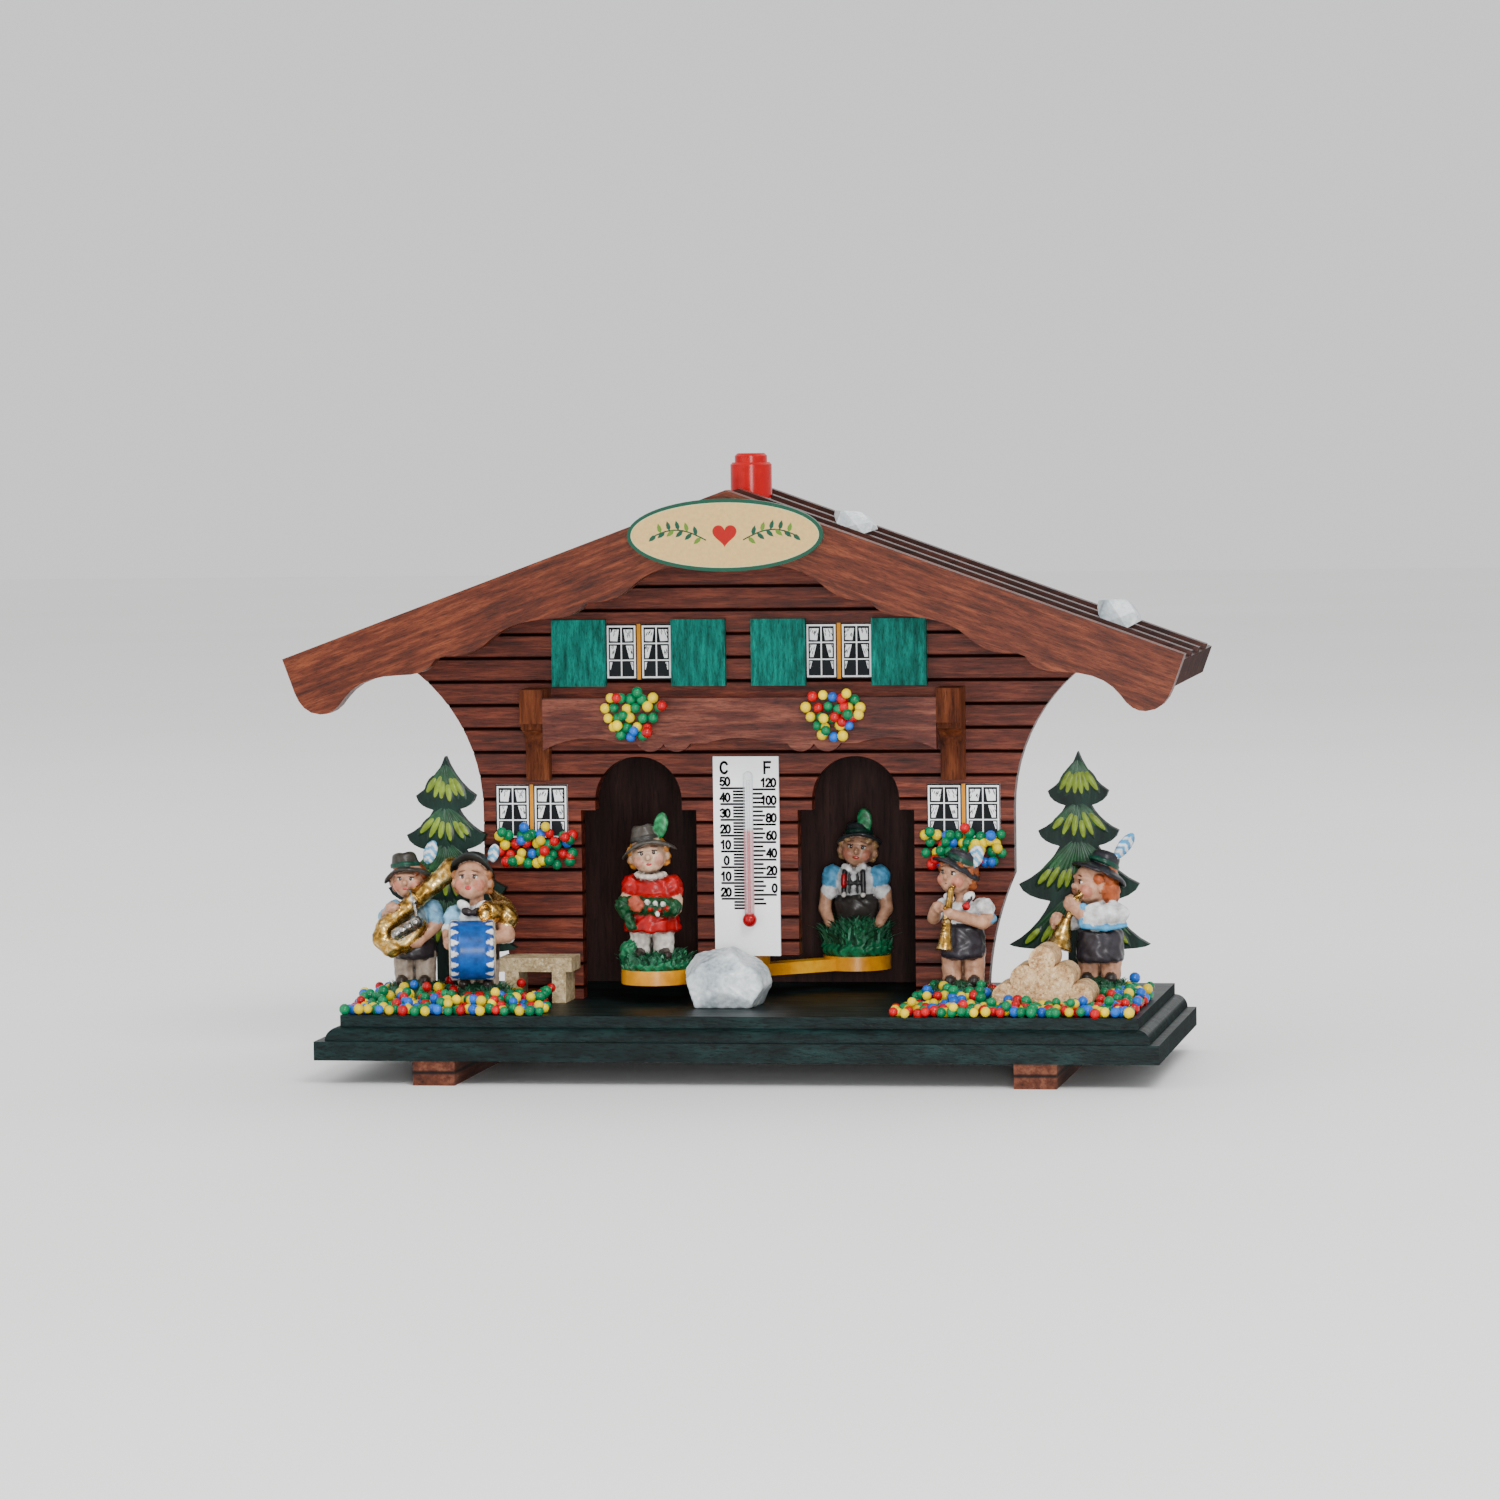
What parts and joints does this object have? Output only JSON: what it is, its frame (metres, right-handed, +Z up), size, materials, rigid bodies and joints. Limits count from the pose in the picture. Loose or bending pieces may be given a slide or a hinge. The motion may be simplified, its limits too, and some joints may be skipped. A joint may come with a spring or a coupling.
{
  "type": "weather house",
  "caption": "Wooden chalet weather house on a moulded base: figures turn in and out of arched doors on a gut-hung beam beside a thermometer, with musicians in a bead garden",
  "frame": {"origin": "on the floor under the middle of the overall box, on the ridge line", "axes": "+X along the front to the viewer's right, +Y from the front to the back, +Z up"},
  "size_m": [0.2374, 0.1048, 0.1617],
  "materials": {
    "stained_base": "dark green-black stain, satin",
    "plywood": "stained plywood strip",
    "log_wall": "red-brown stain, grooved like logs",
    "dark_board": "dark brown stain, matt",
    "roof_board": "dark brown stain, ribs rubbed pale",
    "carved_board": "red-brown stain, satin, dark cut edges",
    "plain_wood": "bare turned and sawn wood",
    "sign_paint": "painted oval with a green rim",
    "bracket_wood": "orange-brown stain",
    "green_paint": "green paint, satin",
    "printed_card": "printed card, matt",
    "scale_card": "white printed card",
    "tube_glass": "clear drawn glass",
    "red_spirit": "dyed spirit",
    "red_plastic": "glossy moulded plastic",
    "gut": "twisted dry gut",
    "ochre_plastic": "moulded plastic, satin",
    "painted_resin": "hand-painted cast resin",
    "tree_paint": "painted cut-out",
    "grit_board": "gritty cast block",
    "cork": "pressed cork",
    "quartz": "broken pale stone",
    "moss": "dyed moss on glue",
    "beads": "bright beads of four colours"
  },
  "bodies": {
    "house": {"base_plate": "stained_base", "foot_left": "plywood", "foot_right": "plywood", "front_wall": "log_wall", "side_wall_left": "dark_board", "side_wall_right": "dark_board", "back_board": "dark_board", "roof_left": "roof_board", "roof_right": "roof_board", "bargeboard_left": "carved_board", "bargeboard_right": "carved_board", "ridge_block": "plain_wood", "sign_board": "sign_paint", "balcony_board": "carved_board", "bracket_left": "bracket_wood", "bracket_right": "bracket_wood", "shutter_left_outer": "green_paint", "shutter_left_inner": "green_paint", "shutter_right_inner": "green_paint", "shutter_right_outer": "green_paint", "window_upper_left": "printed_card", "window_upper_right": "printed_card", "window_lower_left": "printed_card", "window_lower_right": "printed_card", "thermometer_card": "scale_card", "thermometer_tube": "tube_glass", "thermometer_liquid": "red_spirit", "tuba_player": "painted_resin", "drummer": "painted_resin", "clarinet_player": "painted_resin", "horn_player": "painted_resin", "tree_left": "tree_paint", "tree_right": "tree_paint", "bench": "grit_board", "log_pile": "cork", "front_stone": "quartz", "roof_stones": "quartz", "moss_left": "moss", "moss_right": "moss", "flowers_upper_left": "beads", "flowers_upper_right": "beads", "flowers_lower_left": "beads", "flowers_lower_right": "beads", "flower_bed_left": "beads", "flower_bed_right": "beads"},
    "chimney": {"chimney_knob": "red_plastic", "spindle": "plain_wood", "spindle_collar": "plain_wood"},
    "weather_beam_set": {"gut_cord": "gut", "weather_beam": "ochre_plastic", "woman_figure": "painted_resin", "man_figure": "painted_resin"}
  },
  "joints": [
    {"name": "chimney_turn", "type": "hinge", "parent": "house", "child": "chimney", "pos_m": [0, 0.01222, 0.135], "axis": [0, 0, 1], "range_deg": [-18, 2]},
    {"name": "gut_twist", "type": "hinge", "parent": "chimney", "child": "weather_beam_set", "pos_m": [0, 0.01222, 0.1215], "axis": [0, 0, 1], "range_deg": [-64, 0]}
  ]
}
